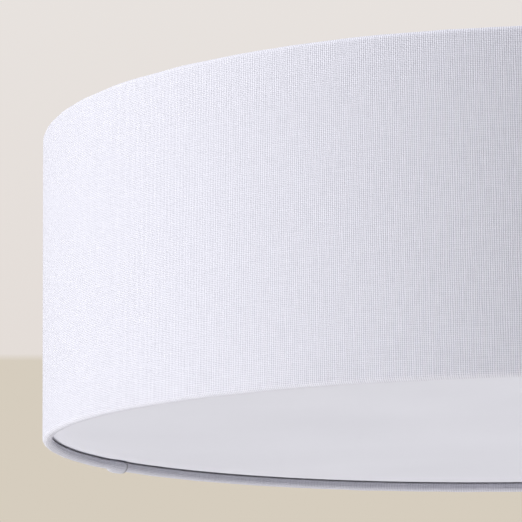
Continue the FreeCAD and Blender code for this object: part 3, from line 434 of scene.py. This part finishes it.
def in_gap(at):
    """Each roll is open on the liner's side, between the wall and the tucked edge."""
    for height, side in ((BOTTOM_HEM, 1), (TOP_HEM, -1)):
        if abs(at.z - height) < 2 * HEM_RADIUS:
            angle = math.degrees(math.atan2(side * (at.z - height), at.x - HEM_CENTRE))
            return ROLL_GAP[0] < angle < ROLL_GAP[1]
    return False


def draw_profile():
    """The strip's cross-section at the seam: a wall with a roll at each edge.

    It is drawn at +X and turned to the seam, with the sign changed as in spin_on().
    """
    cover = begin(
        "fabric_cover", bpy.ops.mesh.primitive_circle_add, vertices=ROLL_SIDES,
        radius=HEM_RADIUS, location=(HEM_CENTRE, 0, BOTTOM_HEM),
        rotation=(math.pi / 2, 0, 0),
    )
    bpy.ops.mesh.duplicate()
    bpy.ops.transform.translate(value=(0, 0, TOP_HEM - BOTTOM_HEM))
    pick(cover, in_gap)
    bpy.ops.mesh.delete(type="VERT")
    pick(cover, lambda at: at.x > HEM_CENTRE + HEM_RADIUS - SAME_PLACE)
    bpy.ops.mesh.edge_face_add()
    bpy.ops.mesh.subdivide(number_cuts=WALL_CUTS)
    bpy.ops.mesh.select_all(action="SELECT")
    bpy.ops.transform.rotate(
        value=-SEAM_AZIMUTH, orient_axis="Z", center_override=(0, 0, 0)
    )
    return cover


def cut_notch(cover, arm):
    """Where an arm comes in, the inner half of the top roll is cut away."""
    along = Vector((math.cos(arm), math.sin(arm), 0))
    side = Vector((-math.sin(arm), math.cos(arm), 0))

    def near_arm(at, half):
        in_roll = at.z > TOP_HEM - 2 * HEM_RADIUS
        return in_roll and at.dot(along) > 0 and abs(at.dot(side)) < half

    def in_notch(at):
        return near_arm(at, NOTCH_HALF) and math.hypot(at.x, at.y) < HEM_CENTRE

    for edge in (-NOTCH_HALF, NOTCH_HALF):
        pick(cover, lambda at: near_arm(at, 4 * NOTCH_HALF), "FACE")
        bpy.ops.mesh.bisect(plane_co=side * edge, plane_no=side)
    pick(cover, in_notch, "FACE")
    bpy.ops.mesh.delete(type="FACE")


def unsettle_hems(cover):
    """The rolls are pulled round by hand, so they are a little uneven."""
    hems = cover.vertex_groups.new(name="hems")
    rolled = [
        vertex.index
        for vertex in cover.data.vertices
        if not BOTTOM_HEM < vertex.co.z < TOP_HEM
    ]
    hems.add(rolled, 1.0, "REPLACE")
    unevenness = bpy.data.textures.new("hem_unevenness", "CLOUDS")
    unevenness.noise_scale = WAVE_SIZE
    add_modifier(
        cover, "DISPLACE", texture=unevenness, vertex_group="hems", strength=WAVE_HEIGHT,
        mid_level=0.5,
    )


def make_cover():
    """One strip of linen, once round the drum and lapped, rolled round a ring at each edge."""
    cover = draw_profile()
    spin_on(LAP_COLUMNS, LAP_COLUMNS * COLUMN)
    face_outwards(cover)
    for columns, rise, whole_height in LAP_RAISES:
        pick(
            cover,
            lambda at: after_seam(at) < columns * COLUMN
            and (whole_height or at.z < BOTTOM_HEM + LAP_FOOT),
        )
        bpy.ops.transform.shrink_fatten(value=rise * CLOTH)
    pick(cover, lambda at: after_seam(at) > (LAP_COLUMNS - 0.5) * COLUMN)
    spin_on(OTHER_COLUMNS, 2 * math.pi + LAP_ANGLE - LAP_COLUMNS * COLUMN)
    face_outwards(cover)
    for arm in ARM_AZIMUTHS:
        cut_notch(cover, arm)
    bpy.ops.object.mode_set(mode="OBJECT")
    lay_out_cloth(cover)
    unsettle_hems(cover)
    add_modifier(cover, "SOLIDIFY", thickness=CLOTH, offset=-1.0)
    bpy.ops.object.shade_smooth_by_angle(angle=math.radians(50))
    return cover


finishes = {name: grained(name, **look) for name, look in LOOKS.items()}
finishes["white_linen"] = linen("white_linen")
dress_frame()

cover = make_cover()
cover.data.materials.append(finishes["white_linen"])
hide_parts("shade_fabric")
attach(cover, "shade")


# ---------------------------------------------------------------- camera, floor and light

LENS = 233.99  # on a sensor 36 mm wide
CAMERA_PLACE = (0, -1.34179, -0.27469)
YAW, PITCH, ROLL = -0.0845064, 0.1670324, -0.0086838
FLOOR_HEIGHT = -4.6
SHADE_MIDDLE = (0, 0, -0.06)

# The world's colours go by how steeply one looks up: the sine of that angle.
ROOM_LIGHT, CEILING_LIGHT = colour(0.05, 0.05, 0.053), colour(0.78, 0.78, 0.843)
LIGHT_EDGE = (-0.05, 0.05)
SEEN_WALL = colour(0.672, 0.610, 0.515)
SEEN_CEILING = colour(0.776, 0.723, 0.686), colour(0.820, 0.785, 0.760)
CEILING_FADE = (0.14, 0.30)
WALL_EDGE = (0.1375, 0.1395)


def aim(place, yaw, pitch, roll):
    """A camera's matrix. Yaw turns it from +Y towards +X and pitch tips it up, in radians."""
    forward = Vector(
        (
            math.sin(yaw) * math.cos(pitch),
            math.cos(yaw) * math.cos(pitch),
            math.sin(pitch),
        )
    )
    right = Vector((math.cos(yaw), -math.sin(yaw), 0))
    up = right.cross(forward)
    across = math.cos(roll) * right + math.sin(roll) * up
    over = math.cos(roll) * up - math.sin(roll) * right
    matrix = Matrix((across, over, -forward)).transposed().to_4x4()
    matrix.translation = place
    return matrix


def soft_light(name, place, size, power, tint):
    """A round lamp of a size in metres and a power in watts that faces the shade."""
    lamp = bpy.data.lights.new(name, "AREA")
    lamp.shape = "DISK"
    lamp.size = size
    lamp.energy = power
    lamp.color = tint
    light = bpy.data.objects.new(name, lamp)
    bpy.context.scene.collection.objects.link(light)
    light.location = place
    ahead = Vector(SHADE_MIDDLE) - Vector(place)
    light.rotation_euler = ahead.to_track_quat("-Z", "Y").to_euler()


def make_world():
    """The shade is lit by one room, and another is seen behind it."""
    world = bpy.data.worlds.new("studio")
    bpy.context.scene.world = world
    world.use_nodes = True
    tree = world.node_tree
    seen = put(tree, "ShaderNodeLightPath").outputs["Is Camera Ray"]
    direction = put(tree, "ShaderNodeTexCoord").outputs["Object"]
    rise = put(tree, "ShaderNodeSeparateXYZ", {0: direction}).outputs[2]
    # What lights it: a bright ceiling all round above it, a darker room below.
    room = blend_colours(tree, remap(tree, rise, *LIGHT_EDGE), ROOM_LIGHT, CEILING_LIGHT)
    # What the camera sees: the wall up to eight degrees, and the ceiling over it.
    ceiling = blend_colours(tree, remap(tree, rise, *CEILING_FADE), *SEEN_CEILING)
    view = blend_colours(tree, remap(tree, rise, *WALL_EDGE), SEEN_WALL, ceiling)
    background = tree.nodes["Background"]
    tree.links.new(blend_colours(tree, seen, room, view), background.inputs["Color"])


camera = bpy.data.objects.new("camera", bpy.data.cameras.new("camera"))
bpy.context.scene.collection.objects.link(camera)
camera.data.lens = LENS
camera.data.sensor_width = 36.0
camera.matrix_world = aim(Vector(CAMERA_PLACE), YAW, PITCH, ROLL)
bpy.context.scene.camera = camera

bpy.ops.object.select_all(action="DESELECT")
bpy.ops.mesh.primitive_plane_add(size=8, location=(0, 0, FLOOR_HEIGHT))
floor = bpy.context.object
floor.name = "studio_floor"
floor.data.materials.append(
    grained(
        "studio_floor", light=(0.80, 0.78, 0.74), dark=(0.79, 0.77, 0.73), clouds=1.5,
        roughness=(0.8, 0.9), grain=(0.2, 0.0005),
    )
)

soft_light("window_side", (-3.0, -1.3, 0.5), size=1.8, power=85, tint=(0.955, 0.955, 1.0))
soft_light("floor_bounce", (0, 0, -3.2), size=1.0, power=52, tint=(0.975, 0.965, 1.0))
make_world()
bpy.context.scene.view_settings.view_transform = "Standard"
